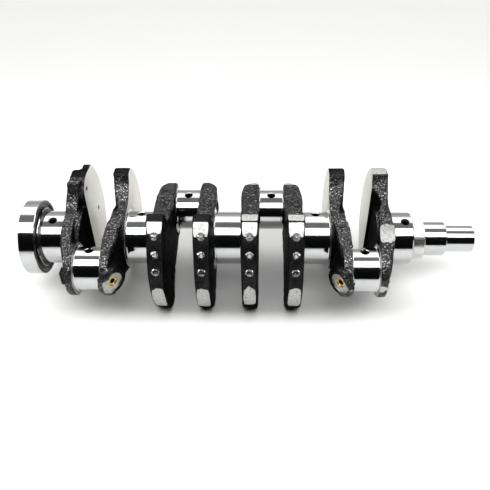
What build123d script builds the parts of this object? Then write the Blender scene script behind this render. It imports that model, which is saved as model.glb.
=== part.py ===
"""Crankshaft of an inline four-cylinder engine, split at its machined boundaries.

Frame: origin at the centre of the middle main journal, +X along the crank axis to the nose,
+Z up. The crankpins lie in the XY plane, the outer two toward -Y and the inner two toward +Y.
"""
from build123d import *
import os
from math import acos, atan2, cos, degrees, hypot, radians, sin, sqrt, tan

os.makedirs("parts", exist_ok=True)

# ---- driving dimensions, mm -------------------------------------------------------------
bore_pitch = 93.0
stroke = 100.0
main_radius = 28.5
pin_radius = 22.5
pin_gap = 27.6
web_thickness = 18.0
journal_flare = 2.0

fan_radius = 75.6
fan_flat = 60.4
fan_shoulder = 34.0
arm_root = (24.0, 40.0)
rear_fan_radius = 73.1
rear_shoulder = 17.0
rear_arm_root = (10.0, 37.0)
inner_boss_radius = 30.3
outer_boss_radius = 27.3
corner_fillet = 3.5
root_fillet = 12.0

plate_radius = 80.5
plate_flat = 58.0
plate_inner = 15.0
plate_thickness = 4.6
plate_corner = 16.0
end_hollow = 2.5
plate_screw_circle = 53.1
plate_screw_radius = 2.5
plate_screw_depth = 12.0

oil_hole_radius = 3.5
oil_chamfer_radius = 4.8
pin_oil_offset = 3.0
main_oil_offset = 6.5
gallery_radius = 3.0
plug_radius = 5.2
plug_length = 5.5
plug_socket = 5.5
plug_socket_depth = 3.0
plug_reach = [25.0, 22.0, 22.0, 25.0]
spot_face_radius = 13.5
spot_face_height = 20.0

balance_hole_radius = 4.0
balance_hole_depth = 7.0
balance_hole_angles = (41.0, 27.0, 13.0)
drill_point_angle = 118.0
drill_tip_radius = 0.01

front_journal_end = 194.1
pump_drive_end = 208.0
pump_drive_radius = 21.5
pump_drive_flat = 19.0
pump_neck_radius = 20.0
pump_neck_length = 2.4
seal_land_end = 231.5
seal_land_radius = 18.25
nose_end = 262.5
nose_radius = 14.25
keyway_width = 5.0
keyway_depth = 3.0
keyway_start = 236.0
keyway_end = 256.0
nose_bolt_radius = 6.25
nose_bolt_depth = 42.0
nose_bolt_chamfer = 1.4
nose_chamfer = 1.5

rear_journal_end = -198.0
flange_front = -200.4
flange_rear = -217.1
flange_radius = 40.25
flange_step_radius = 32.0
flange_groove_radius = 37.0
flange_groove_depth = 2.2
flange_bolt_circle = 62.0
flange_bolt_radius = 5.4
flange_bolt_depth = 13.0
flange_bolt_count = 6
flange_bolt_start = 30.0
pilot_radius = 17.5
pilot_depth = 11.0
dowel_hole_radius = 4.0
edge_chamfer = 1.0

# ---- stations worked out from the driving dimensions ------------------------------------
throw = stroke / 2
pin_stations = [1.5 * bore_pitch, 0.5 * bore_pitch, -0.5 * bore_pitch, -1.5 * bore_pitch]
pin_sides = [-1, 1, 1, -1]
main_stations = [2 * bore_pitch, bore_pitch, 0.0, -bore_pitch, -2 * bore_pitch]
pin_face = pin_gap / 2
journal_face = pin_face + web_thickness
half_main = bore_pitch / 2 - journal_face
gallery_rise = throw - pin_oil_offset - main_oil_offset
gallery_slope = gallery_rise / (bore_pitch / 2)
gallery_angle = degrees(atan2(gallery_rise, bore_pitch / 2))
outline_margin = 5.0
pick_tolerance = 0.1

inner_webs = (3, 4, 5, 6)
end_webs = (1, 8)
plate_web = 8
plug_seat_webs = (2, 4, 5, 7)
fed_pins = (0, 1, None, 2, 3)

# top view of a web, as (depth from the crankpin face, place toward the crankpin): bevel is the
# back of the arm down to its tip, cheek is the crankpin side out to the counterweight
web_tip = throw + inner_boss_radius + outline_margin
web_tail = -plate_radius - outline_margin
inner_bevel = [(web_thickness, 48.0), (10.0, 66.0), (5.0, web_tip)]
inner_cheek = [(0, web_tail)]
middle_bevel = [(web_thickness, 33.0), (15.0, 50.0), (9.5, web_tip)]
middle_cheek = [(0, 12.0), (3.5, 0), (5.5, -8.0), (1.4, -18.0), (1.4, web_tail)]
end_bevel = [(web_thickness, 31.0), (15.7, 45.0), (9.7, 61.0), (5.0, web_tip)]
front_cheek = [(0, 25.0), (end_hollow, 14.0), (end_hollow, -15.0), (0, -25.0), (0, web_tail)]
rear_cheek = [(0, 25.0), (plate_thickness, 14.0), (plate_thickness, web_tail)]


# ---- shared operations ------------------------------------------------------------------
def finish(part, name):
    """Label one finished piece and write its STEP file."""
    part.label = name
    export_step(part, f"parts/{name}.step")
    volume = round(part.volume / 1000, 1)
    print(name, "solids", len(part.solids()), "volume", volume, "cm3")


def ring_profile(points):
    """Face bounded by the given (x, radius) points, ready to be turned about the axis."""
    with BuildLine() as outline:
        Polyline(*points, close=True)
    make_face(outline.edges())


def gallery_plane(pin_index, back_from_seat=0.0):
    """Plane on the oil gallery of one crankpin, its z axis pointing out of the plug seat."""
    x_pin = pin_stations[pin_index]
    side = pin_sides[pin_index]
    toward_main = 1 if pin_index in (0, 1) else -1
    run = plug_reach[pin_index] - back_from_seat * cos(radians(gallery_angle))
    x_seat = x_pin - toward_main * run
    y_seat = side * (throw - pin_oil_offset + run * gallery_slope)
    outward = (-toward_main * cos(radians(gallery_angle)), side * sin(radians(gallery_angle)), 0)
    return Plane(origin=(x_seat, y_seat, 0), x_dir=(0, 0, 1), z_dir=outward)


def drill_gallery(pin_index):
    """Cut the slanting oil gallery that joins a crankpin to its main journal."""
    length = (plug_reach[pin_index] + bore_pitch / 2) / cos(radians(gallery_angle))
    with Locations(gallery_plane(pin_index)):
        Hole(gallery_radius, depth=length)


def drill_oil_hole(x, y, axis_y, radius):
    """Cut a chamfered oil hole straight down from the top of a journal to the gallery."""
    top = sqrt(radius**2 - (y - axis_y) ** 2)
    with Locations(Plane(origin=(x, y, top), z_dir=(0, 0, 1))):
        CounterSinkHole(oil_hole_radius, oil_chamfer_radius, depth=top, counter_sink_angle=90)


def turned_journal(x0, x1, radius, flare0, flare1):
    """Ground journal from x0 to x1, flaring out to the web cheek where a flare is given."""
    with BuildLine() as outline:
        Line((x0, 0), (x0, radius + flare0))
        if flare0:
            CenterArc((x0 + flare0, radius + flare0), flare0, 180, 90)
        Line((x0 + flare0, radius), (x1 - flare1, radius))
        if flare1:
            CenterArc((x1 - flare1, radius + flare1), flare1, 270, 90)
        Line((x1, radius + flare1), (x1, 0))
        Line((x1, 0), (x0, 0))
    make_face(outline.edges())


# ---- webs -------------------------------------------------------------------------------
def web_outline(boss_radius, weight_radius, shoulder, root):
    """Side view of a web: the counterweight toward local +x, the crankpin boss toward -x."""
    fan_start = sqrt(weight_radius**2 - fan_flat**2)
    to_root = degrees(atan2(root[1], root[0] + throw))
    span = hypot(root[0] + throw, root[1])
    touch = to_root + degrees(acos(boss_radius / span))
    touch_x = -throw + boss_radius * cos(radians(touch))
    touch_y = boss_radius * sin(radians(touch))
    with BuildLine() as outline:
        ThreePointArc((fan_start, fan_flat), (weight_radius, 0), (fan_start, -fan_flat))
        Line((fan_start, -fan_flat), (shoulder, -fan_flat))
        Line((shoulder, -fan_flat), (root[0], -root[1]))
        Line((root[0], -root[1]), (touch_x, -touch_y))
        ThreePointArc((touch_x, -touch_y), (-throw - boss_radius, 0), (touch_x, touch_y))
        Line((touch_x, touch_y), root)
        Line(root, (shoulder, fan_flat))
        Line((shoulder, fan_flat), (fan_start, fan_flat))
    make_face(outline.edges())
    for x_corner, radius in ((root[0], root_fillet), (shoulder, corner_fillet), (fan_start, corner_fillet)):
        fillet([v for v in vertices() if abs(v.X - x_corner) < pick_tolerance], radius)


def web_plan(number):
    """Top view of a web: x is its thickness from the crankpin face, y points to its pin."""
    bevel, cheek = middle_bevel, middle_cheek
    if number in inner_webs:
        bevel, cheek = inner_bevel, inner_cheek
    if number in end_webs:
        bevel, cheek = end_bevel, front_cheek
    if number == plate_web:
        cheek = rear_cheek
    with BuildLine() as outline:
        Polyline((0, web_tip), *cheek, (web_thickness, web_tail), *bevel, close=True)
    make_face(outline.edges())


def web_planes(number):
    """Side and top sketch planes of a web, both leaving its crankpin face."""
    pin_index = (number - 1) // 2
    pin_side = pin_sides[pin_index]
    leaves = 1 if number % 2 else -1
    x_face = pin_stations[pin_index] + leaves * pin_face
    side_plane = Plane(origin=(x_face, 0, 0), x_dir=(0, -pin_side, 0), z_dir=(leaves, 0, 0))
    top_plane = Plane(origin=(x_face, 0, 0), x_dir=(leaves, 0, 0), z_dir=(0, 0, leaves * pin_side))
    return side_plane, top_plane


def add_cheek_plate(side_plane):
    """Turned plate on the crankpin side of the rear web."""
    with BuildSketch(side_plane) as plate:
        Circle(plate_radius)
        with Locations((plate_inner + plate_radius, 0)):
            Rectangle(2 * plate_radius, 2 * plate_flat, mode=Mode.INTERSECT)
        corners = [v for v in vertices() if abs(v.X - plate_inner) < pick_tolerance]
        fillet(corners, plate_corner)
    extrude(plate.sketch, amount=plate_thickness + 1)


def drill_plate_screws(side_plane):
    """Three tapped holes in the plate, on one circle, opening toward the crankpin."""
    drill_plane = Plane(origin=side_plane.origin, x_dir=side_plane.x_dir, z_dir=-side_plane.z_dir)
    with Locations(drill_plane):
        with PolarLocations(plate_screw_circle, 3, start_angle=-60, angular_range=120, endpoint=True):
            Hole(plate_screw_radius, depth=plate_screw_depth)


def drill_balance_holes(number):
    """Radial drillings in the rim of an inner counterweight, above its middle."""
    pin_index = (number - 1) // 2
    leaves = 1 if number % 2 else -1
    x_rim = pin_stations[pin_index] + leaves * (pin_face + web_thickness / 2)
    weight_side = -pin_sides[pin_index]
    point_length = balance_hole_radius / tan(radians(drill_point_angle / 2))
    for angle in balance_hole_angles:
        out = Vector(0, weight_side * cos(radians(angle)), sin(radians(angle)))
        rim = Vector(x_rim, 0, 0) + out * fan_radius
        bottom = Vector(x_rim, 0, 0) + out * (fan_radius - balance_hole_depth - point_length / 2)
        with Locations(Plane(origin=rim, x_dir=(1, 0, 0), z_dir=out)):
            Hole(balance_hole_radius, depth=balance_hole_depth)
        with Locations(Plane(origin=bottom, x_dir=(1, 0, 0), z_dir=out)):
            Cone(drill_tip_radius, balance_hole_radius, point_length, mode=Mode.SUBTRACT)


def mill_plug_seat(pin_index):
    """Flat milled round the mouth of an oil gallery, and the bore that takes its plug."""
    with Locations(gallery_plane(pin_index)):
        Cylinder(
            spot_face_radius,
            spot_face_height,
            align=(Align.CENTER, Align.CENTER, Align.MIN),
            mode=Mode.SUBTRACT,
        )
        Hole(plug_radius, depth=plug_length)


def make_web(number):
    """One web with its counterweight, cut by the oil gallery of its crankpin."""
    pin_index = (number - 1) // 2
    side_plane, top_plane = web_planes(number)
    boss_radius = inner_boss_radius if number in inner_webs else outer_boss_radius
    weight = (fan_radius, fan_shoulder, arm_root)
    if number == plate_web:
        weight = (rear_fan_radius, rear_shoulder, rear_arm_root)
    with BuildPart() as web:
        with BuildSketch(side_plane):
            web_outline(boss_radius, *weight)
        extrude(amount=web_thickness)
        with BuildSketch(top_plane):
            web_plan(number)
        extrude(amount=2 * plate_radius, both=True, mode=Mode.INTERSECT)
        if number == plate_web:
            add_cheek_plate(side_plane)
            drill_plate_screws(side_plane)
        if number in inner_webs:
            drill_balance_holes(number)
        if number in plug_seat_webs:
            mill_plug_seat(pin_index)
        drill_gallery(pin_index)
    return web.part


# ---- main journals ----------------------------------------------------------------------
main_ends = [(x - half_main, x + half_main) for x in main_stations]
main_ends[0] = (main_stations[0] - half_main, front_journal_end)
main_ends[4] = (rear_journal_end, main_stations[4] + half_main)
main_flares = [(journal_flare, 0)] + [(journal_flare, journal_flare)] * 3 + [(0, journal_flare)]
for index, x_main in enumerate(main_stations):
    x0, x1 = main_ends[index]
    with BuildPart() as main_journal:
        with BuildSketch(Plane.XY):
            turned_journal(x0, x1, main_radius, *main_flares[index])
        revolve(axis=Axis.X)
        if index == 0:
            front_edge = main_journal.edges().filter_by(GeomType.CIRCLE).sort_by(Axis.X)[-1]
            chamfer(front_edge, edge_chamfer)
        fed_pin = fed_pins[index]
        if fed_pin is not None:
            drill_oil_hole(x_main, pin_sides[fed_pin] * main_oil_offset, 0, main_radius)
            drill_gallery(fed_pin)
    finish(main_journal.part, f"main_journal_{index + 1}")

# ---- crankpins --------------------------------------------------------------------------
for index, x_pin in enumerate(pin_stations):
    y_pin = pin_sides[index] * throw
    y_oil = pin_sides[index] * (throw - pin_oil_offset)
    with BuildPart() as crankpin:
        with BuildSketch(Plane(origin=(x_pin, y_pin, 0))):
            turned_journal(-pin_face, pin_face, pin_radius, journal_flare, journal_flare)
        revolve(axis=Axis((0, y_pin, 0), (1, 0, 0)))
        drill_oil_hole(x_pin, y_oil, y_pin, pin_radius)
        drill_gallery(index)
    finish(crankpin.part, f"crankpin_{index + 1}")

# ---- webs and oil plugs -----------------------------------------------------------------
for number in range(1, 9):
    finish(make_web(number), f"web_{number}")

for index in range(4):
    with BuildPart() as oil_plug:
        with Locations(gallery_plane(index, back_from_seat=plug_length)):
            Cylinder(plug_radius, plug_length, align=(Align.CENTER, Align.CENTER, Align.MIN))
        with BuildSketch(gallery_plane(index)):
            RegularPolygon(plug_socket / 2, 6, major_radius=False)
        extrude(amount=-plug_socket_depth, mode=Mode.SUBTRACT)
    finish(oil_plug.part, f"oil_plug_{index + 1}")

# ---- rear flange ------------------------------------------------------------------------
with BuildPart() as rear_flange:
    with BuildSketch(Plane.XY):
        ring_profile(
            [
                (flange_rear, 0),
                (flange_rear, flange_radius - edge_chamfer),
                (flange_rear + edge_chamfer, flange_radius),
                (flange_front - edge_chamfer, flange_radius),
                (flange_front, flange_radius - edge_chamfer),
                (flange_front, flange_groove_radius),
                (flange_front - flange_groove_depth, flange_groove_radius),
                (flange_front - flange_groove_depth, flange_step_radius),
                (rear_journal_end, flange_step_radius),
                (rear_journal_end, 0),
            ]
        )
    revolve(axis=Axis.X)
    rear_plane = Plane(origin=(flange_rear, 0, 0), x_dir=(0, 1, 0), z_dir=(-1, 0, 0))
    with Locations(rear_plane):
        with PolarLocations(flange_bolt_circle / 2, flange_bolt_count, start_angle=flange_bolt_start):
            Hole(flange_bolt_radius, depth=flange_bolt_depth)
        Hole(pilot_radius, depth=pilot_depth)
        with Locations((flange_bolt_circle / 2, 0)):
            Hole(dowel_hole_radius, depth=pilot_depth)
finish(rear_flange.part, "rear_flange")

# ---- front end --------------------------------------------------------------------------
with BuildPart() as pump_drive:
    with BuildSketch(Plane.XY):
        ring_profile(
            [
                (front_journal_end, 0),
                (front_journal_end, pump_neck_radius),
                (front_journal_end + pump_neck_length, pump_neck_radius),
                (front_journal_end + pump_neck_length, pump_drive_radius),
                (pump_drive_end - edge_chamfer, pump_drive_radius),
                (pump_drive_end, pump_drive_radius - edge_chamfer),
                (pump_drive_end, 0),
            ]
        )
    revolve(axis=Axis.X)
    flats_length = pump_drive_end - front_journal_end - pump_neck_length
    with BuildSketch(Plane(origin=(pump_drive_end, 0, 0), x_dir=(0, 1, 0), z_dir=(1, 0, 0))):
        for way in (-1, 1):
            with Locations((0, way * (pump_drive_flat + pump_drive_radius / 2))):
                Rectangle(2 * pump_drive_radius, pump_drive_radius)
    extrude(amount=-flats_length, mode=Mode.SUBTRACT)
finish(pump_drive.part, "pump_drive")

with BuildPart() as seal_land:
    with BuildSketch(Plane.XY):
        ring_profile(
            [
                (pump_drive_end, 0),
                (pump_drive_end, seal_land_radius),
                (seal_land_end - edge_chamfer, seal_land_radius),
                (seal_land_end, seal_land_radius - edge_chamfer),
                (seal_land_end, 0),
            ]
        )
    revolve(axis=Axis.X)
    front_plane = Plane(origin=(nose_end, 0, 0), x_dir=(0, 1, 0), z_dir=(1, 0, 0))
    with Locations(front_plane):
        Hole(nose_bolt_radius, depth=nose_bolt_depth)
finish(seal_land.part, "seal_land")

with BuildPart() as nose:
    with BuildSketch(Plane.XY):
        ring_profile(
            [
                (seal_land_end, 0),
                (seal_land_end, nose_radius),
                (nose_end - nose_chamfer, nose_radius),
                (nose_end, nose_radius - nose_chamfer),
                (nose_end, 0),
            ]
        )
    revolve(axis=Axis.X)
    with Locations(front_plane):
        Hole(nose_bolt_radius, depth=nose_bolt_depth)
    mouth = nose.edges().filter_by(GeomType.CIRCLE).group_by(Axis.X)[-1].sort_by(SortBy.RADIUS)[0]
    chamfer(mouth, nose_bolt_chamfer)
    with BuildSketch(Plane(origin=(0, nose_radius, 0), x_dir=(1, 0, 0), z_dir=(0, 1, 0))):
        with Locations(((keyway_start + keyway_end) / 2, 0)):
            SlotOverall(keyway_end - keyway_start, keyway_width)
    extrude(amount=-keyway_depth, mode=Mode.SUBTRACT)
finish(nose.part, "nose")
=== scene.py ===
"""Looks of an inline four-cylinder crankshaft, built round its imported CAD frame.

The frame: metres, +X along the crank axis to the nose, +Z up, the outer crankpins toward -Y.
Each web is cut from a solid field in millimetres: first the forging with its draft, fillets and
rough skin, then the machining that a real web gets, in the order of a real shop.
"""
from math import acos, atan2, cos, pi, radians, sin
import bmesh
import bpy
import numpy as np
from mathutils import Matrix, Vector


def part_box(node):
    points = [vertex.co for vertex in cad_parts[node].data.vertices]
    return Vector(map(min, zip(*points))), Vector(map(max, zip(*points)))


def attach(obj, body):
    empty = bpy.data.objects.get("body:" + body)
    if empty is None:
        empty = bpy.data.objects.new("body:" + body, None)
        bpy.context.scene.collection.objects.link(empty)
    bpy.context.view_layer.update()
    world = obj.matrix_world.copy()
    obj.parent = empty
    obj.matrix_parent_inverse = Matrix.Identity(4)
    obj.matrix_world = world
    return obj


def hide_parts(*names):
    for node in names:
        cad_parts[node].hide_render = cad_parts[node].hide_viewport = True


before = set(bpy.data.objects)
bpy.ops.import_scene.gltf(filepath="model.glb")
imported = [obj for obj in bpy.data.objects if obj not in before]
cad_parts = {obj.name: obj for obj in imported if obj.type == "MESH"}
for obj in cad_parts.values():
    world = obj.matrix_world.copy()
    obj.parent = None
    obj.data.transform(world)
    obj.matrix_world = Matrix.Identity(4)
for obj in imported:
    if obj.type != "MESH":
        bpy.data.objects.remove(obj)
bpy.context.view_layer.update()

MM = 0.001

# ---- camera -----------------------------------------------------------------------------
camera_place = Vector((0.032453, -0.508801, 0.434326))
camera_elevation = radians(41.16)
camera_yaw = radians(1.675)
camera_roll = radians(0.815)
camera_lens = 45.07

# ---- driving sizes of the webs, mm --------------------------------------------------------
PITCH = 0.8
main_radius = 28.5
pin_radius = 22.5
throw = 50.0
web_thickness = 18.0
fan_radius = 75.6
fan_half = 60.4
balance_angles = (41.0, 27.0, 13.0)
balance_radius = 4.0
balance_depth = 6.0
floor_height = -60.4
plug_webs = (2, 4, 5, 7)
end_webs = (1, 8)
rear_web = 8

# ---- bosses, pads and the rear web's plate and lug, mm --------------------------------------
main_boss_radius = 32.5
pin_boss_radius = 26.6
boss_rise = 0.6
face_radius = 34.5
pin_face_radius = 27.2
face_end = -12.0
pad_radius = 15.5
pad_depth = 16.0
pad_rise = 1.1
plug_climb = (throw - 9.5) / 46.5
plug_start = throw - 3.0
outer_plug_reach = 25.0
inner_plug_reach = 22.0
cheek = 13.8
spot_radius = 10.2
flat_radius = 9.5
flat_cut = 0.15
plug_bore_radius = 5.2
plug_bore_depth = 5.5
plate_radius = 80.5
plate_inner = 15.0
plate_half = 58.0
plate_corner = 16.0
plate_low = -2.2
plate_high = 4.6
plate_growth = 3.4
screw_circle = 53.1
screw_radius = 2.5
screw_depth = 12.0
lug_place = (19.0, 47.0, -14.0)
lug_half = (3.4, 5.5, 8.5)

# ---- rough skin, mm: its reach, and the (height, width) of coarse, middle and fine bumps -----
skin_reach = 2.5
skin_bumps = ((0.24, 7.3), (0.28, 3.3), (0.20, 1.9))

# ---- mesh edges that turn by more than this stay sharp, degrees ------------------------------
sharp_edge_angle = 38


# ---- small maths --------------------------------------------------------------------------
def round_max(a, b, r):
    """Where both fields are solid, with a rounded outer edge of radius r."""
    inside = np.minimum(-r, np.maximum(a, b))
    return inside + np.hypot(np.maximum(a + r, 0), np.maximum(b + r, 0))


def round_min(a, b, r):
    """Where either field is solid, with an inner fillet of radius r."""
    return -round_max(-a, -b, r)


def smoothstep(x, low, high):
    t = np.clip((x - low) / (high - low), 0, 1)
    return t * t * (3 - 2 * t)


def curve(*points):
    """Smooth function through (place, value) points, level beyond both ends."""
    x, y = np.array(points, float).T
    slope = np.gradient(y, x)
    slope[0] = slope[-1] = 0

    def value(at):
        at = np.clip(at, x[0], x[-1])
        i = np.clip(np.searchsorted(x, at) - 1, 0, len(x) - 2)
        h = x[i + 1] - x[i]
        t = (at - x[i]) / h
        rise = y[i] * (1 + 2 * t) * (1 - t) ** 2 + y[i + 1] * (3 - 2 * t) * t**2
        return rise + h * (slope[i] * t * (1 - t) ** 2 - slope[i + 1] * t**2 * (1 - t))

    return value


def lattice_noise(p, scale, seed):
    """Smooth noise from -1 to 1 on points p, with bumps about `scale` across."""
    lattice = np.random.default_rng(seed).uniform(-1, 1, (32, 32, 32))
    q = p / scale
    cell = np.floor(q).astype(int)
    t = q - cell
    t = t * t * (3 - 2 * t)
    total = 0
    for corner in np.ndindex(2, 2, 2):
        c = np.array(corner)
        weight = np.prod(np.where(c, t, 1 - t), axis=1)
        i = (cell + c) % 32
        total = total + weight * lattice[i[:, 0], i[:, 1], i[:, 2]]
    return total


# ---- dual contouring ----------------------------------------------------------------------
def contour(field, low, high, pitch):
    """Vertices and quads of the surface where field(points) is zero, with sharp edges kept."""
    low = np.array(low, float)
    count = np.ceil((np.array(high) - low) / pitch).astype(int) + 1
    axes = [low[i] + pitch * np.arange(count[i]) for i in range(3)]
    grid = np.stack(np.meshgrid(*axes, indexing="ij"), -1).reshape(-1, 3)
    values = field(grid).reshape(count)
    solid = values < 0
    cells = count - 1
    strides = np.array([cells[1] * cells[2], cells[2], 1])
    n_cells = int(np.prod(cells))
    ata = np.zeros((n_cells, 6))
    atb = np.zeros((n_cells, 3))
    mass = np.zeros((n_cells, 3))
    hits = np.zeros(n_cells)
    quads = []
    pairs = ((0, 0), (0, 1), (0, 2), (1, 1), (1, 2), (2, 2))
    for axis in range(3):
        one, two = (axis + 1) % 3, (axis + 2) % 3
        step = np.eye(3, dtype=int)[axis]
        start = solid[tuple(slice(0, count[i] - step[i]) for i in range(3))]
        end = solid[tuple(slice(step[i], count[i]) for i in range(3))]
        inner = np.argwhere(start != end)
        keep = (inner[:, one] > 0) & (inner[:, two] > 0)
        keep &= (inner[:, one] < count[one] - 1) & (inner[:, two] < count[two] - 1)
        inner = inner[keep]
        if not len(inner):
            continue
        a = values[tuple(inner.T)]
        b = values[tuple((inner + step).T)]
        low_side = low + pitch * inner
        t0, t1 = np.zeros(len(a)), np.ones(len(a))
        for _ in range(3):
            t = t0 + (t1 - t0) * np.clip(a / (a - b), 0.02, 0.98)
            at = low_side + pitch * t[:, None] * step
            f = field(at)
            left = (f < 0) == (a < 0)
            t0, a = np.where(left, t, t0), np.where(left, f, a)
            t1, b = np.where(left, t1, t), np.where(left, b, f)
        t = t0 + (t1 - t0) * np.clip(a / (a - b), 0, 1)
        at = low_side + pitch * t[:, None] * step
        nudge = 0.04
        here = field(at)
        normal = np.stack([field(at + nudge * np.eye(3)[i]) - here for i in range(3)], 1)
        normal /= np.linalg.norm(normal, axis=1)[:, None] + 1e-12
        reach = np.sum(normal * at, axis=1)
        corner = []
        for d1, d2 in ((0, 0), (-1, 0), (-1, -1), (0, -1)):
            cell = inner.copy()
            cell[:, one] += d1
            cell[:, two] += d2
            corner.append(cell @ strides)
        for index in corner:
            for k, (i, j) in enumerate(pairs):
                ata[:, k] += np.bincount(index, normal[:, i] * normal[:, j], n_cells)
            for i in range(3):
                atb[:, i] += np.bincount(index, normal[:, i] * reach, n_cells)
                mass[:, i] += np.bincount(index, at[:, i], n_cells)
            hits += np.bincount(index, minlength=n_cells)
        quad = np.stack(corner, 1)
        flip = ~solid[tuple(inner.T)]
        quad[flip] = quad[flip][:, ::-1]
        quads.append(quad)
    used = np.flatnonzero(hits)
    centre = mass[used] / hits[used][:, None]
    matrix = np.zeros((len(used), 3, 3))
    for k, (i, j) in enumerate(pairs):
        matrix[:, i, j] = matrix[:, j, i] = ata[used, k]
    right = atb[used] - np.einsum("nij,nj->ni", matrix, centre)
    matrix += 0.08 * np.eye(3)
    offset = np.linalg.solve(matrix, right[..., None])[..., 0]
    offset = np.clip(offset, -pitch, pitch)
    place = np.unravel_index(used, cells)
    corner_low = low + pitch * np.stack(place, 1)
    vertices = np.clip(centre + offset, corner_low - 0.05 * pitch, corner_low + 1.05 * pitch)
    number = np.full(n_cells, -1)
    number[used] = np.arange(len(used))
    return vertices, number[np.concatenate(quads)]


def mesh_object(name, vertices, quads, materials, finishes):
    """Blender object, in metres, from millimetre vertices and quads."""
    mesh = bpy.data.meshes.new(name)
    mesh.vertices.add(len(vertices))
    mesh.vertices.foreach_set("co", (vertices * MM).astype(np.float32).ravel())
    mesh.loops.add(quads.size)
    mesh.loops.foreach_set("vertex_index", quads.astype(np.int32).ravel())
    mesh.polygons.add(len(quads))
    mesh.polygons.foreach_set("loop_start", np.arange(0, quads.size, 4, dtype=np.int32))
    mesh.polygons.foreach_set("material_index", finishes.astype(np.int32))
    mesh.update(calc_edges=True)
    mesh.validate()
    mesh.shade_smooth()
    mesh.set_sharp_from_angle(angle=radians(sharp_edge_angle))
    for material in materials:
        mesh.materials.append(material)
    obj = bpy.data.objects.new(name, mesh)
    bpy.context.scene.collection.objects.link(obj)
    return obj


# ---- materials ----------------------------------------------------------------------------
def new_material(name, metallic, colour=None, roughness=None):
    material = bpy.data.materials.new(name)
    material.use_nodes = True
    tree = material.node_tree
    shader = tree.nodes["Principled BSDF"]
    shader.inputs["Metallic"].default_value = metallic
    if colour is not None:
        shader.inputs["Base Color"].default_value = (*colour, 1)
    if roughness is not None:
        shader.inputs["Roughness"].default_value = roughness
    return material, tree, shader


def node(tree, kind, **values):
    made = tree.nodes.new(kind)
    for key, value in values.items():
        if key in made.inputs:
            made.inputs[key].default_value = value
        else:
            setattr(made, key, value)
    return made


def object_place(tree, scale=(1, 1, 1)):
    """Object coordinates, scaled: metres in the shared frame."""
    place = node(tree, "ShaderNodeTexCoord")
    mapping = node(tree, "ShaderNodeMapping")
    mapping.inputs["Scale"].default_value = scale
    tree.links.new(place.outputs["Object"], mapping.inputs["Vector"])
    return mapping.outputs["Vector"]


def noise(tree, place, scale, detail=3.0, rough=0.55):
    made = node(tree, "ShaderNodeTexNoise")
    made.inputs["Scale"].default_value = scale
    made.inputs["Detail"].default_value = detail
    made.inputs["Roughness"].default_value = rough
    tree.links.new(place, made.inputs["Vector"])
    return made.outputs["Fac"]


def ramp(tree, value, *stops):
    """Colour ramp with (position, grey or colour) stops, in rising order."""
    made = node(tree, "ShaderNodeValToRGB")
    elements = made.color_ramp.elements
    elements[0].position, elements[1].position = stops[0][0], stops[-1][0]
    for position, _ in stops[1:-1]:
        elements.new(position)
    for element, (_, colour) in zip(elements, stops):
        element.color = (*colour, 1) if isinstance(colour, tuple) else (colour, colour, colour, 1)
    tree.links.new(value, made.inputs["Fac"])
    return made.outputs["Color"]


def bump(tree, height, distance, strength=1.0, before=None):
    made = node(tree, "ShaderNodeBump")
    made.inputs["Strength"].default_value = strength
    made.inputs["Distance"].default_value = distance
    tree.links.new(height, made.inputs["Height"])
    if before is not None:
        tree.links.new(before, made.inputs["Normal"])
    return made.outputs["Normal"]


def forged_skin(name, tone, shine, dents, rough, edge):
    """Scale-darkened forging skin: near black, pitted all over, burnished on its high spots."""
    material, tree, shader = new_material(name, metallic=1.0)
    place = object_place(tree)
    broad = noise(tree, place, 70, 4)
    grain = noise(tree, place, 720, 2, 0.55)
    scale = ramp(tree, broad, (0.3, 0.55 * tone), (0.7, 1.45 * tone))
    worn = ramp(tree, grain, (0.55, 0.0), (0.68, shine))
    tint = blended(tree, worn, scale, (0.42, 0.42, 0.41))
    tree.links.new(tint, shader.inputs["Base Color"])
    shader.inputs["Specular Tint"].default_value = (edge, edge, edge, 1)
    dull = ramp(tree, grain, (0.40, rough), (0.60, rough * 0.55))
    tree.links.new(dull, shader.inputs["Roughness"])
    pits = bump(tree, grain, 0.00050 * dents, 1.0)
    coarse = bump(tree, noise(tree, place, 330, 3, 0.6), 0.0006 * dents, 1.0, pits)
    tree.links.new(coarse, shader.inputs["Normal"])
    return material


def turned_face():
    """Face turned about the crank axis: pale, soft, with fine rings."""
    material, tree, shader = new_material("turned_face", metallic=1.0)
    place = object_place(tree)
    radius, _ = distance_from_axis(tree, place, 0)
    around = node(tree, "ShaderNodeCombineXYZ")
    tree.links.new(radius, around.inputs["X"])
    rings = noise(tree, around.outputs["Vector"], 900, 5, 0.7)
    cloud = noise(tree, place, 45, 3)
    tint = ramp(tree, rings, (0.25, (0.52, 0.51, 0.475)), (0.75, (0.66, 0.65, 0.61)))
    tree.links.new(tint, shader.inputs["Base Color"])
    dull = ramp(tree, cloud, (0.3, 0.36), (0.7, 0.46))
    tree.links.new(dull, shader.inputs["Roughness"])
    tree.links.new(bump(tree, rings, 0.00006, 0.6), shader.inputs["Normal"])
    return material


def ground_patch_and_highlight():
    """Spots dressed by a hand grinder, and the painted highlight bands under the inner webs' top
    flats: bright, scratched one way, with dark leftovers.
    """
    material, tree, shader = new_material("ground_patch_and_highlight", metallic=1.0)
    place = object_place(tree, (1, 6, 6))
    scratches = noise(tree, place, 260, 5, 0.7)
    blotch = noise(tree, object_place(tree), 420, 4, 0.6)
    tint = ramp(tree, blotch, (0.30, (0.20, 0.198, 0.195)), (0.52, (0.42, 0.415, 0.405)))
    tree.links.new(tint, shader.inputs["Base Color"])
    dull = ramp(tree, scratches, (0.3, 0.30), (0.7, 0.45))
    tree.links.new(dull, shader.inputs["Roughness"])
    tree.links.new(bump(tree, scratches, 0.00015, 0.7), shader.inputs["Normal"])
    return material


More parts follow.
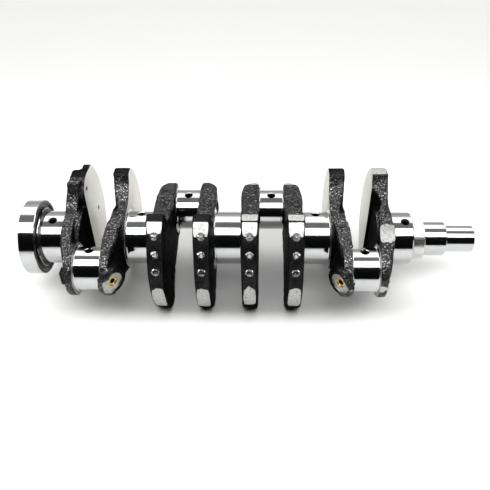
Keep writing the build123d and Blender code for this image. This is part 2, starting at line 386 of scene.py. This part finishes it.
def distance_from_axis(tree, place, y):
    """Distance in metres from the line along X at this Y, on the level of the crank axis."""
    split = node(tree, "ShaderNodeSeparateXYZ")
    tree.links.new(place, split.inputs["Vector"])
    shift = node(tree, "ShaderNodeMath", operation="SUBTRACT")
    tree.links.new(split.outputs["Y"], shift.inputs[0])
    shift.inputs[1].default_value = y
    flat = node(tree, "ShaderNodeCombineXYZ")
    tree.links.new(shift.outputs[0], flat.inputs["X"])
    tree.links.new(split.outputs["Z"], flat.inputs["Y"])
    length = node(tree, "ShaderNodeVectorMath", operation="LENGTH")
    tree.links.new(flat.outputs["Vector"], length.inputs[0])
    return length.outputs["Value"], split.outputs["X"]


def ground_steel(name="ground_steel", x=None, y=0.0, radius=0.0):
    """Ground and lapped round the axis: near mirror, hairline rings, and painted shade inside the
    oil drilling at x: a near-black, dull colour where the hole lies in shade.
    """
    material, tree, shader = new_material(name, metallic=1.0)
    place = object_place(tree)
    hairlines = noise(tree, object_place(tree, (1, 0.02, 0.02)), 2600, 4, 0.7)
    smoke = noise(tree, place, 55, 3)
    tint = ramp(tree, smoke, (0.3, (0.44, 0.45, 0.45)), (0.7, (0.50, 0.51, 0.51)))
    dull = ramp(tree, hairlines, (0.3, 0.07), (0.7, 0.12))
    tree.links.new(bump(tree, hairlines, 0.000008, 0.5), shader.inputs["Normal"])
    if x is not None:
        away, along = distance_from_axis(tree, place, y)
        deep = node(tree, "ShaderNodeMath", operation="LESS_THAN")
        tree.links.new(away, deep.inputs[0])
        deep.inputs[1].default_value = radius - 0.0004
        near = node(tree, "ShaderNodeMath", operation="COMPARE")
        tree.links.new(along, near.inputs[0])
        near.inputs[1].default_value = x
        near.inputs[2].default_value = 0.0043
        both = node(tree, "ShaderNodeMath", operation="MULTIPLY")
        tree.links.new(deep.outputs[0], both.inputs[0])
        tree.links.new(near.outputs[0], both.inputs[1])
        # painted shade: inside the oil hole, below its chamfer, a near-black, dull colour stands in
        # for the shade in the hole
        tint = blended(tree, both.outputs[0], tint, (0.012, 0.012, 0.012))
        dull = blended(tree, both.outputs[0], dull, (0.6, 0.6, 0.6))
    tree.links.new(tint, shader.inputs["Base Color"])
    tree.links.new(dull, shader.inputs["Roughness"])
    return material


def blended(tree, share, low, high):
    """Colour going from the `low` socket to the fixed `high` colour."""
    made = node(tree, "ShaderNodeMix", data_type="RGBA")
    tree.links.new(share, made.inputs[0])
    tree.links.new(low, made.inputs[6])
    made.inputs[7].default_value = (*high, 1)
    return made.outputs[2]


def milled_steel():
    """Pump drive: milled flats, paler and duller than the ground steel."""
    material, tree, shader = new_material("milled_steel", metallic=1.0)
    lines = noise(tree, object_place(tree, (0.06, 1, 1)), 1500, 4, 0.7)
    tint = ramp(tree, lines, (0.3, (0.46, 0.46, 0.46)), (0.7, (0.58, 0.58, 0.57)))
    tree.links.new(tint, shader.inputs["Base Color"])
    dull = ramp(tree, lines, (0.3, 0.22), (0.7, 0.36))
    tree.links.new(dull, shader.inputs["Roughness"])
    tree.links.new(bump(tree, lines, 0.00003, 0.6), shader.inputs["Normal"])
    return material


def drilled_steel():
    """Walls and points of drilled holes: bright, with the drill's spiral feed marks."""
    material, tree, shader = new_material("drilled_steel", metallic=1.0, colour=(0.62, 0.62, 0.63))
    marks = noise(tree, object_place(tree), 1800, 3, 0.6)
    dull = ramp(tree, marks, (0.3, 0.09), (0.7, 0.15))
    tree.links.new(dull, shader.inputs["Roughness"])
    tree.links.new(bump(tree, marks, 0.00004, 0.5), shader.inputs["Normal"])
    return material


def dull_turning_and_painted_shade():
    """Dark dull steel: the relief groove left from rough turning, and painted shade on the flange's
    front face toward the rear web and deep in the plug sockets.
    """
    material, tree, shader = new_material("dull_turning_and_painted_shade", metallic=1.0)
    grain = noise(tree, object_place(tree), 300, 4)
    tint = ramp(tree, grain, (0.3, (0.035, 0.034, 0.032)), (0.7, (0.10, 0.097, 0.09)))
    tree.links.new(tint, shader.inputs["Base Color"])
    dull = ramp(tree, grain, (0.3, 0.28), (0.7, 0.42))
    tree.links.new(dull, shader.inputs["Roughness"])
    tree.links.new(bump(tree, grain, 0.00005, 0.5), shader.inputs["Normal"])
    return material


def plug_brass():
    """Oil gallery plugs: yellow passivated, slightly worn."""
    material, tree, shader = new_material("plug_brass", metallic=1.0)
    wear = noise(tree, object_place(tree), 900, 3)
    tint = ramp(tree, wear, (0.3, (0.50, 0.27, 0.02)), (0.7, (0.85, 0.52, 0.07)))
    tree.links.new(tint, shader.inputs["Base Color"])
    dull = ramp(tree, wear, (0.3, 0.16), (0.7, 0.30))
    tree.links.new(dull, shader.inputs["Roughness"])
    return material


FORGED = forged_skin("forged_skin", tone=0.028, shine=0.8, dents=1.0, rough=0.46, edge=0.6)
RIM = forged_skin("forged_rim", tone=0.015, shine=0.07, dents=0.6, rough=0.62, edge=0.25)
TURNED = turned_face()
PATCH_AND_HIGHLIGHT = ground_patch_and_highlight()
GROUND = ground_steel()
MILLED = milled_steel()
DRILLED = drilled_steel()
BRASS = plug_brass()
DULL_AND_SHADE = dull_turning_and_painted_shade()
WEB_MATERIALS = (FORGED, TURNED, PATCH_AND_HIGHLIGHT, DRILLED, RIM)
# the dressed finish also covers the painted highlight bands on the inner webs' rims
SKIN, FACE, DRESSED_AND_HIGHLIGHT, HOLE, SMOOTH_SKIN = range(5)


# ---- web shapes ---------------------------------------------------------------------------
# A web's own coordinates, mm: u from its crankpin face toward its main journal, v from the
# crank axis toward its crankpin, w up. edge profiles hold along the outline, middle profiles at
# w = 0, and the die's draft runs between them.
inner_shape = {
    "boss": 30.3,
    "fan": fan_radius,
    "shoulder": (-34.0, 60.4),
    "root": (-24.0, 40.0),
    "pin_edge": curve((-76, 1.6), (-55, 0.8), (-40, 0.2), (0, 0.4), (60, 0.4), (80, 1.5)),
    "pin_middle": curve((-76, 0.3), (0, 0.0), (80, 0.0)),
    "back_edge": curve(
        (-76, 16.8), (-50, 17.4), (-34, 18.2), (0, 18.6), (45, 18.8), (55, 17.2), (63, 13),
        (72, 8.5), (80, 6.5),
    ),
    "back_middle": curve((-76, 17.8), (-30, 18.2), (40, 18.2), (50, 17.6), (66, 11), (80, 7)),
}
middle_shape = {
    "boss": 27.3,
    "fan": fan_radius,
    "shoulder": (-34.0, 60.4),
    "root": (-24.0, 40.0),
    "pin_edge": curve(
        (-76, 2.4), (-34, 1.6), (-25, 2.6), (-14, 6.2), (-7, 8.0), (1, 6.6), (7, 4.4), (13, 0.8),
        (20, -0.4), (60, -0.4), (80, 1),
    ),
    "pin_middle": curve((-76, 1.6), (-20, 1.6), (-8, 3.6), (0, 3.2), (10, 1.0), (20, 0), (80, 0)),
    "back_edge": curve(
        (-76, 19), (-8, 19), (2, 18.6), (14, 15.2), (24, 13.2), (37, 12.0), (52, 10.4),
        (64, 8.6), (72, 6.2), (78, 3),
    ),
    "back_middle": curve((-76, 19.6), (20, 19), (45, 18.8), (58, 19.6), (64, 18), (70, 13), (78, 7)),
}
front_shape = {
    "boss": 27.3,
    "fan": fan_radius,
    "shoulder": (-34.0, 60.4),
    "root": (-24.0, 40.0),
    "pin_edge": curve(
        (-76, -1.2), (-32, -1.2), (-27, 0), (-23.5, 4.5), (-18, 8.2), (-3, 6.0), (14, 4.2),
        (25, 3.3), (41, 2.2), (55, 0.4), (80, 0.4),
    ),
    "pin_middle": curve(
        (-76, -1.2), (-28, -1.2), (-22, 2.5), (-15, 6.5), (0, 6.5), (14, 4.5), (24, 3.0),
        (80, 3.0),
    ),
    "back_edge": curve(
        (-76, 14.8), (-38, 17.0), (-28, 17.4), (-12, 16.8), (-3, 17.6), (12, 18.6), (24, 19.6),
        (36, 17.7), (50, 13.9), (60, 10.9), (68, 8.4), (73.5, 6.3), (78, 4.8),
    ),
    "back_middle": curve(
        (-76, 15.5), (-30, 17.8), (0, 18.3), (33, 18.3), (50, 15.8), (61, 12.6), (78, 8),
    ),
}
rear_shape = {
    "boss": 27.3,
    "fan": 73.1,
    "shoulder": (-17.0, 60.4),
    "root": (-10.0, 37.0),
    "pin_edge": curve(
        (-76, 3), (-20, 3), (-12, 5.4), (4, 7.2), (24, 6.6), (37, 5.2), (49, 3.0), (60, 0.4),
        (80, 0.2),
    ),
    "pin_middle": curve((-76, 3), (-20, 3), (-10, 6.5), (10, 7.0), (24, 5.0), (36, 3.0), (80, 3.0)),
    "back_edge": curve(
        (-76, 14), (-41, 16.6), (-20, 16.8), (-11, 19.4), (0, 19.6), (13, 19.6), (25, 18.8),
        (38, 16.8), (47, 14.6), (58, 11.2), (66, 8.8), (72, 6.7), (78, 5.2),
    ),
    "back_middle": curve((-76, 14), (-40, 17), (0, 18.4), (33, 18.4), (50, 16), (61, 12.6), (78, 8)),
}
shapes = {1: front_shape, 2: middle_shape, 7: middle_shape, 8: rear_shape}
# hand grinding and painted highlight bands, mm and degrees. rim: middle of the mark above level,
# wheel radius, depth, crown.
# flat: level of the flattened upper end. scoop: place (v, w), direction out, wheel radius, depth.
# on each inner web the first rim mark is a grinding mark; the second, a flat bright band just under
# the top flat, is a painted highlight standing in for the skin's own highlight there
rim_grinding_and_highlight = {
    3: ((-16, 96, 0.50, 0.004), (47.8, 900, 0.45, 0)),
    4: ((-14, 92, 0.35, 0.004), (47.8, 900, 0.45, 0)),
    5: ((-18, 96, 0.60, 0.004), (47.2, 900, 0.45, 0)),
    6: ((-18, 94, 0.55, 0.004), (49.3, 900, 0.42, 0)),
}
flat_grinding = {1: (60.0,), 3: (60.0,), 4: (59.9,)}
scoops = {
    1: (((29.0, 31.2), 80.5, 55.0, 1.3), ((77.2, -1.5), -2, 12.0, 1.0)),
    3: (((64.2, 26.75), 62, 400.0, 0.8),),
    4: (((64.2, 26.75), 62, 400.0, 0.8),),
}


def half_plane(v, w, a, b):
    """Distance past the line from a to b, on its left-hand side when walking from a to b."""
    along = np.array(b, float) - a
    normal = np.array([-along[1], along[0]]) / np.hypot(*along)
    return normal[0] * (v - a[0]) + normal[1] * (w - a[1])


def outline(shape, v, w):
    """Side view of the forging: fan, arm and crankpin boss."""
    up = np.abs(w)
    root, shoulder, boss_radius = np.array(shape["root"]), shape["shoulder"], shape["boss"]
    boss = np.hypot(v - throw, w) - boss_radius
    reach = root - (throw, 0)
    lean = atan2(reach[1], reach[0]) - acos(boss_radius / np.hypot(*reach))
    arm = cos(lean) * (v - throw) + sin(lean) * up - boss_radius
    arm = np.maximum(arm, np.maximum(v - throw, root[0] - 8 - v))
    fan = round_max(np.hypot(v, w) - shape["fan"], up - fan_half, 2.2)
    fan = round_max(fan, half_plane(v, up, root, shoulder) * -1, 2.5)
    return np.minimum(round_min(arm, fan, 13.0), boss)


def plug_pad(number, u, v, w):
    """Round pad that the spot face of an oil plug is cut into."""
    reach = outer_plug_reach if number in (2, 7) else inner_plug_reach
    outward = np.array([1, plug_climb]) / np.hypot(1, plug_climb)
    seat_u, seat_v = reach - cheek, plug_start + reach * plug_climb
    along = (u - seat_u) * outward[0] + (v - seat_v) * outward[1]
    off = np.hypot((u - seat_u) * outward[1] - (v - seat_v) * outward[0], w)
    barrel = np.maximum(off - pad_radius, -pad_depth - along)
    return round_max(barrel, along - pad_rise, 1.5)


def rear_lug(u, v, w):
    """Small lug on the journal side of the rear web."""
    box = [np.abs(x - at) - half for x, at, half in zip((u, v, w), lug_place, lug_half)]
    return round_max(round_max(box[0], box[1], 2), box[2], 2)


def rear_plate(u, v, w):
    """Thin plate on the rear web's counterweight, thicker toward its top."""
    inner = round_max(v + plate_inner, np.abs(w) - plate_half, plate_corner)
    plate = round_max(np.hypot(v, w) - plate_radius, inner, 2.0)
    high = plate_high + plate_growth * smoothstep(w, 20, 50)
    return round_max(plate, np.maximum(u - high, plate_low - u), 1.2)


def forging(shape, number, u, v, w):
    """Signed distance, mm, of the forging before it is machined and without its rough skin."""
    side = outline(shape, v, w)
    depth = smoothstep(-side, 0, 26)
    front = shape["pin_edge"](v) * (1 - depth) + shape["pin_middle"](v) * depth
    back = shape["back_edge"](v) * (1 - depth) + shape["back_middle"](v) * depth
    body = round_max(side, u - back, 2.6)
    body = round_max(body, front - u, 2.2)
    main_end = web_thickness + boss_rise
    main_boss = np.maximum(np.hypot(v, w) - main_boss_radius, np.maximum(u - main_end, 2 - u))
    pin_boss = np.maximum(
        np.hypot(v - throw, w) - pin_boss_radius, np.maximum(-boss_rise - u, u - 8)
    )
    body = round_min(body, main_boss, 3.0)
    body = round_min(body, pin_boss, 2.5)
    if number in plug_webs:
        body = round_min(body, round_max(plug_pad(number, u, v, w), side, 2.0), 5.0)
    if number == rear_web:
        body = round_min(body, rear_lug(u, v, w), 2)
        body = round_min(body, rear_plate(u, v, w), 3.0)
    return body


def web_field(number, x_face, leaves, side):
    """The web's field on points in the shared frame, mm, and the finish of each point."""
    shape = shapes.get(number, inner_shape)
    inner = shape is inner_shape
    uncut = -9

    def parts(p):
        u = leaves * (p[:, 0] - x_face)
        v = side * p[:, 1]
        w = p[:, 2]
        skin = forging(shape, number, u, v, w)
        near = np.abs(skin) < skin_reach
        q = p[near]
        seed = 10 * number
        rough = sum(
            height * lattice_noise(q, width, seed + i)
            for i, (height, width) in enumerate(skin_bumps)
        )
        flank = smoothstep(outline(shape, v[near], w[near]), -9, -1)
        rim = smoothstep(np.hypot(v[near], w[near]), 66, 72) * (v[near] < 0)
        skin[near] += rough * (0.45 - 0.25 * rim + 0.75 * flank * (1 - rim))
        r = np.hypot(v, w)
        r_pin = np.hypot(v - throw, w)
        faces = [np.where(r < face_radius, u - web_thickness, uncut)]
        faces.append(np.where(r_pin < pin_face_radius, -u, uncut))
        if number in end_webs:
            past = v - face_end
            faces.append(np.maximum(-u, past) - np.maximum(past, 0) * 2)
        if number in (2, 7):
            faces.append(np.where(v < 30, u - web_thickness - 0.3, uncut))
        return u, v, w, r, skin, faces

    def dressed(u, v, w):
        """Hand grinding: flats on the ends, wheels flatter than the rim, and scoops; on the inner
        webs one flat wheel band under the top flat is a painted highlight.
        """
        found = [w - level for level in flat_grinding.get(number, ())]
        for middle, wheel, depth, crowning in rim_grinding_and_highlight.get(number, ()):
            back = wheel - fan_radius + depth
            a = radians(middle)
            crown = crowning * (u - web_thickness / 2) ** 2
            found.append(np.hypot(v - back * cos(a), w + back * sin(a)) - wheel - crown)
        for at, aim, wheel, depth in scoops.get(number, ()):
            a = radians(aim)
            out = wheel - depth
            found.append(wheel - np.hypot(v - at[0] - out * cos(a), w - at[1] - out * sin(a)))
        return found

    def field(p, finish=False):
        u, v, w, r, skin, faces = parts(p)
        holes = []
        if inner:
            for angle in balance_angles:
                out_v, out_w = -cos(radians(angle)), sin(radians(angle))
                along = v * out_v + w * out_w
                off = np.hypot(u - web_thickness / 2, -v * out_w + w * out_v)
                floor = fan_radius - balance_depth
                point = floor - (balance_radius - off) * 0.70 - along
                holes.append(np.maximum(off - balance_radius, point * 0.82))
        cut_values = list(faces)
        kinds = [FACE] * len(faces)
        for d in dressed(u, v, w):
            cut_values.append(d)
            kinds.append(DRESSED_AND_HIGHLIGHT)
        for h in holes:
            cut_values.append(-h)
            kinds.append(HOLE)
        if number == rear_web:
            for angle in (-60, 0, 60):
                a = radians(angle)
                off = np.hypot(v + screw_circle * cos(a), w - screw_circle * sin(a))
                cut_values.append(-np.maximum(off - screw_radius, u - screw_depth))
                kinds.append(HOLE)
        if number in plug_webs:
            value, kind = plug_seat(number, p)
            cut_values += value
            kinds += kind
        value = skin
        which = np.zeros(len(p), int)
        for k, c in zip(kinds, cut_values):
            which = np.where(c > value, k, which)
            value = np.maximum(value, c)
        if not finish:
            return value
        smooth = ((r > 66) & (v < -10)) | (outline(shape, v, w) < -4.5)
        return np.where((which == SKIN) & smooth, SMOOTH_SKIN, which)

    return field


def plug_seat(number, p):
    """Spot face and bore of an oil gallery plug, on the plug's own axis."""
    axis, seat = plug_axis(number)
    along = (p - seat) @ axis

    def off(centre):
        q = p - centre
        return np.linalg.norm(q - (q @ axis)[:, None] * axis, axis=1)

    to_tip = np.array([-abs(axis[1]) * np.sign(axis[0]), abs(axis[0]) * np.sign(axis[1]), 0])
    from_plug = off(seat)
    spot = np.minimum(spot_radius - from_plug, along)
    flat_centre = seat + (6.0 if number == 7 else 2.0) * to_tip - np.array([0, 0, 1.5])
    flat = np.minimum(flat_radius - off(flat_centre), along - flat_cut)
    recess = -np.maximum(from_plug - plug_bore_radius, -plug_bore_depth - along)
    return [spot, flat, recess], [DRESSED_AND_HIGHLIGHT, DRESSED_AND_HIGHLIGHT, HOLE]


def build_plug(number):
    """Brass plug with a hexagon socket, screwed in just below its spot face."""
    axis, seat = plug_axis(number)
    cross = np.cross(axis, (0, 0, 1))

    def field(p):
        q = p - seat
        along = q @ axis
        a, b = q @ cross, q[:, 2]
        off = np.hypot(a, b)
        body = round_max(np.maximum(off - 5.15, -5.5 - along), along + 0.9, 0.5)
        hexagon = np.maximum.reduce([np.abs(a * cos(t) + b * sin(t)) for t in (0, 1.0472, 2.0944)])
        socket = np.maximum(hexagon - 3.0, -4.3 - along)
        return np.maximum(body, -socket)

    reach = np.array([6.5, 6.5, 5.8])
    vertices, quads = contour(field, seat - reach, seat + reach, 0.3)
    depth = (vertices[quads].mean(1) - seat) @ axis
    name = f"brass_plug_{(number + 1) // 2}"
    # painted shade: faces more than 2.4 mm below the seat, deep in the hexagon socket, take the dark
    # dull steel
    plug = mesh_object(name, vertices, quads, [BRASS, DULL_AND_SHADE], depth < -2.4)
    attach(plug, "root")
    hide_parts(f"oil_plug_{(number + 1) // 2}")


def plug_axis(number):
    """Outward axis and seat centre, mm, of the oil plug on this web."""
    pin = (number + 1) // 2
    low, high = (np.array(c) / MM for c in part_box(f"crankpin_{pin}"))
    centre = (low + high) / 2
    side = 1 if centre[1] > 0 else -1
    toward = 1 if pin in (1, 2) else -1
    reach = outer_plug_reach if pin in (1, 4) else inner_plug_reach
    axis = np.array([-toward, side * plug_climb, 0])
    seat = np.array([centre[0] - toward * reach, side * (plug_start + reach * plug_climb), 0])
    return axis / np.linalg.norm(axis), seat


def build_web(number):
    low, high = (np.array(c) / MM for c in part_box(f"web_{number}"))
    pin_low, pin_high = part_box(f"crankpin_{(number + 1) // 2}")
    side = 1 if pin_low.y + pin_high.y > 0 else -1
    leaves = 1 if number % 2 else -1
    x_face = low[0] if leaves > 0 else high[0]
    field = web_field(number, x_face, leaves, side)
    margin = np.array([4.2, 2.5, 2.5])
    vertices, quads = contour(field, low - margin, high + margin, PITCH)
    centres = vertices[quads].mean(1)
    finishes = field(centres, finish=True)
    name = f"forged_web_{number}"
    web = mesh_object(name, vertices, quads, WEB_MATERIALS, finishes)
    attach(web, "root")
    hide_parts(f"web_{number}")


for number in range(1, 9):
    build_web(number)


for number in plug_webs:
    build_plug(number)


def lathe(name, profile, segments, materials):
    """Solid of revolution about the crank axis from (x, radius, finish of the next face) rows."""
    shape = bmesh.new()
    turn = [2 * pi * i / segments for i in range(segments)]
    rings = [
        [shape.verts.new((x * MM, r * cos(t) * MM, r * sin(t) * MM)) for t in turn]
        for x, r, _ in profile
    ]
    for (a, b), (_, _, finish) in zip(zip(rings, rings[1:]), profile):
        for i in range(segments):
            j = (i + 1) % segments
            shape.faces.new((a[i], b[i], b[j], a[j])).material_index = finish
    shape.faces.new(rings[0][::-1]).material_index = profile[0][2]
    shape.faces.new(rings[-1])
    bmesh.ops.recalc_face_normals(shape, faces=shape.faces)
    return bmesh_object(name, shape, materials)


def bmesh_object(name, shape, materials):
    mesh = bpy.data.meshes.new(name)
    shape.to_mesh(mesh)
    shape.free()
    for material in materials:
        mesh.materials.append(material)
    obj = bpy.data.objects.new(name, mesh)
    bpy.context.scene.collection.objects.link(obj)
    return obj


def cut_holes(obj, holes, material):
    """Drill round holes, (x, y, z, radius, depth) in mm, into the rear face of obj."""
    cutters = bmesh.new()
    for x, y, z, radius, depth in holes:
        turn = Matrix.Rotation(radians(90), 4, "Y")
        place = Matrix.Translation(Vector((x + depth / 2 - 1, y, z)) * MM) @ turn
        bmesh.ops.create_cone(
            cutters, cap_ends=True, segments=64, radius1=radius * MM, radius2=radius * MM,
            depth=(depth + 2) * MM, matrix=place,
        )
    tool = bmesh_object("hole_cutters", cutters, [material])
    boolean = obj.modifiers.new("holes", "BOOLEAN")
    boolean.object = tool
    boolean.solver = "EXACT"
    boolean.material_mode = "TRANSFER"
    bpy.context.view_layer.update()
    evaluated = obj.evaluated_get(bpy.context.evaluated_depsgraph_get())
    cut = bpy.data.meshes.new_from_object(evaluated)
    obj.modifiers.clear()
    obj.data = cut
    bpy.data.objects.remove(tool)
    cut.shade_smooth()
    cut.set_sharp_from_angle(angle=radians(28))


def build_flange():
    """Rear flange: ground barrel, turned faces, a dull relief groove, painted shade on its front
    face toward the rear web, and its bolt holes.
    """
    rear, front = -217.1, -200.4
    ground, turned, dull = 0, 1, 2
    profile = (
        (rear + 11.0, 2.0, turned),
        (rear + 11.0, 17.5, ground),
        (rear + 0.8, 17.5, ground),
        (rear, 18.3, turned),
        (rear, 39.6, ground),
        (rear + 0.65, 40.25, ground),
        (front - 0.5, 40.25, ground),
        # from here on the dull rows paint shade on the front face, which faces the rear web, besides
        # the relief groove
        (front, 39.75, dull),
        (front, 37.4, dull),
        (front - 0.9, 36.6, dull),
        (front - 2.0, 35.2, dull),
        (front - 2.2, 33.2, dull),
        (front - 1.2, 32.3, ground),
        (front + 1.4, 32.0, ground),
        (front + 2.1, 31.3, dull),
        (front + 2.4, 28.0, dull),
        (front + 2.4, 2.0, dull),
    )
    segments = 360
    flange = lathe("turned_rear_flange", profile, segments, [GROUND, TURNED, DULL_AND_SHADE])
    holes = []
    for step in range(6):
        a = radians(30 + 60 * step)
        holes.append((rear, 31 * cos(a), 31 * sin(a), 5.4, 13))
    holes.append((rear, 31, 0, 4.0, 11))
    cut_holes(flange, holes, DRILLED)
    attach(flange, "root")
    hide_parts("rear_flange")


build_flange()

# ---- CAD nodes that stay ------------------------------------------------------------------
finishes = {"pump_drive": MILLED}
for number in range(1, 6):
    station = 0.093 * (3 - number)
    finishes[f"main_journal_{number}"] = ground_steel(
        f"ground_main_{number}", station, 0.0, main_radius * MM
    )
for number, side in ((1, -1), (2, 1), (3, 1), (4, -1)):
    station = 0.093 * (2.5 - number)
    finishes[f"crankpin_{number}"] = ground_steel(
        f"ground_pin_{number}", station, side * throw * MM, pin_radius * MM
    )
    finishes[f"oil_plug_{number}"] = BRASS
for name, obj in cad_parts.items():
    if name.startswith("web"):
        continue
    for slot in obj.material_slots:
        slot.material = finishes.get(name, GROUND)

# ---- floor, light and camera --------------------------------------------------------------
def build_floor():
    mesh = bpy.data.meshes.new("floor")
    far, near = 6.0, -0.7
    z = floor_height * MM
    corners = [(-far, near, z), (far, near, z), (far, far, z), (-far, far, z)]
    mesh.from_pydata(corners, [], [(0, 1, 2, 3)])
    floor = bpy.data.objects.new("floor", mesh)
    bpy.context.scene.collection.objects.link(floor)
    paper = (0.86, 0.86, 0.85)
    material, _, shader = new_material("floor_paper", metallic=0, colour=paper, roughness=0.9)
    shader.inputs["Specular IOR Level"].default_value = 0.1
    mesh.materials.append(material)


def build_softbox(name, place, width, depth, aim, strength):
    data = bpy.data.lights.new(name, "AREA")
    data.shape = "RECTANGLE"
    data.size = width
    data.size_y = depth
    data.energy = strength * width * depth * pi
    lamp = bpy.data.objects.new(name, data)
    bpy.context.scene.collection.objects.link(lamp)
    lamp.location = place
    lamp.rotation_euler = (Vector(aim) - Vector(place)).to_track_quat("-Z", "Y").to_euler()


def build_world():
    """Room: pale behind and overhead, dark in front, and pale to the camera itself."""
    world = bpy.data.worlds.new("room")
    bpy.context.scene.world = world
    world.use_nodes = True
    tree = world.node_tree
    tree.nodes.clear()
    place = node(tree, "ShaderNodeTexCoord")
    split = node(tree, "ShaderNodeSeparateXYZ")
    tree.links.new(place.outputs["Generated"], split.inputs["Vector"])
    turn = node(tree, "ShaderNodeMath", operation="MULTIPLY")
    turn.inputs[1].default_value = -1
    tree.links.new(split.outputs["Y"], turn.inputs[0])
    angle = node(tree, "ShaderNodeMath", operation="ARCTAN2")
    tree.links.new(turn.outputs[0], angle.inputs[0])
    tree.links.new(split.outputs["Z"], angle.inputs[1])
    share = node(tree, "ShaderNodeMapRange")
    share.inputs["From Min"].default_value = radians(-90)
    share.inputs["From Max"].default_value = radians(90)
    tree.links.new(angle.outputs[0], share.inputs["Value"])

    def stop(degree, level):
        return ((degree + 90) / 180, level)

    sky = ramp(
        tree,
        share.outputs["Result"],
        stop(-90, 0.50),
        stop(-75, 0.60),
        stop(-54, 1.0),
        stop(-34, 1.4),
        stop(-25, 0.9),
        stop(-18, 0.28),
        stop(5, 0.28),
        stop(38, 0.007),
        stop(90, 0.004),
    )
    sideways = node(tree, "ShaderNodeMath", operation="ABSOLUTE")
    tree.links.new(split.outputs["X"], sideways.inputs[0])
    ends = ramp(tree, sideways.outputs[0], (0.62, 0.0), (0.86, 1.0))
    sky = blended(tree, ends, sky, (0.05, 0.05, 0.05))
    seen = node(tree, "ShaderNodeLightPath")
    background = node(tree, "ShaderNodeBackground")
    shown = blended(tree, seen.outputs["Is Camera Ray"], sky, (1, 1, 1))
    tree.links.new(shown, background.inputs["Color"])
    output = node(tree, "ShaderNodeOutputWorld")
    tree.links.new(background.outputs["Background"], output.inputs["Surface"])


def build_camera():
    data = bpy.data.cameras.new("camera")
    data.lens = camera_lens
    data.sensor_width = 36
    camera = bpy.data.objects.new("camera", data)
    bpy.context.scene.collection.objects.link(camera)
    level = Vector((cos(camera_yaw), sin(camera_yaw), 0))
    ahead = Vector((-sin(camera_yaw), cos(camera_yaw), 0))
    up = ahead * sin(camera_elevation) + Vector((0, 0, cos(camera_elevation)))
    forward = ahead * cos(camera_elevation) - Vector((0, 0, sin(camera_elevation)))
    right = level * cos(camera_roll) - up * sin(camera_roll)
    up = level * sin(camera_roll) + up * cos(camera_roll)
    turn = Matrix((right, up, -forward)).transposed()
    camera.matrix_world = Matrix.Translation(camera_place) @ turn.to_4x4()
    bpy.context.scene.camera = camera


build_floor()
build_softbox("overhead", (0, -0.18, 0.42), 1.6, 0.24, (0, -0.02, 0), 5.4)
for name, x in (("side_left", -1.7), ("side_right", 1.7)):
    build_softbox(name, (x, 0.7, 1.3), 0.9, 0.9, (0, 0.2, 0), 3.4)
build_softbox("backdrop", (0, 1.25, 1.5), 2.4, 1.3, (0, 0.95, 0), 1.4)
build_world()
build_camera()
bpy.context.scene.view_settings.view_transform = "Standard"
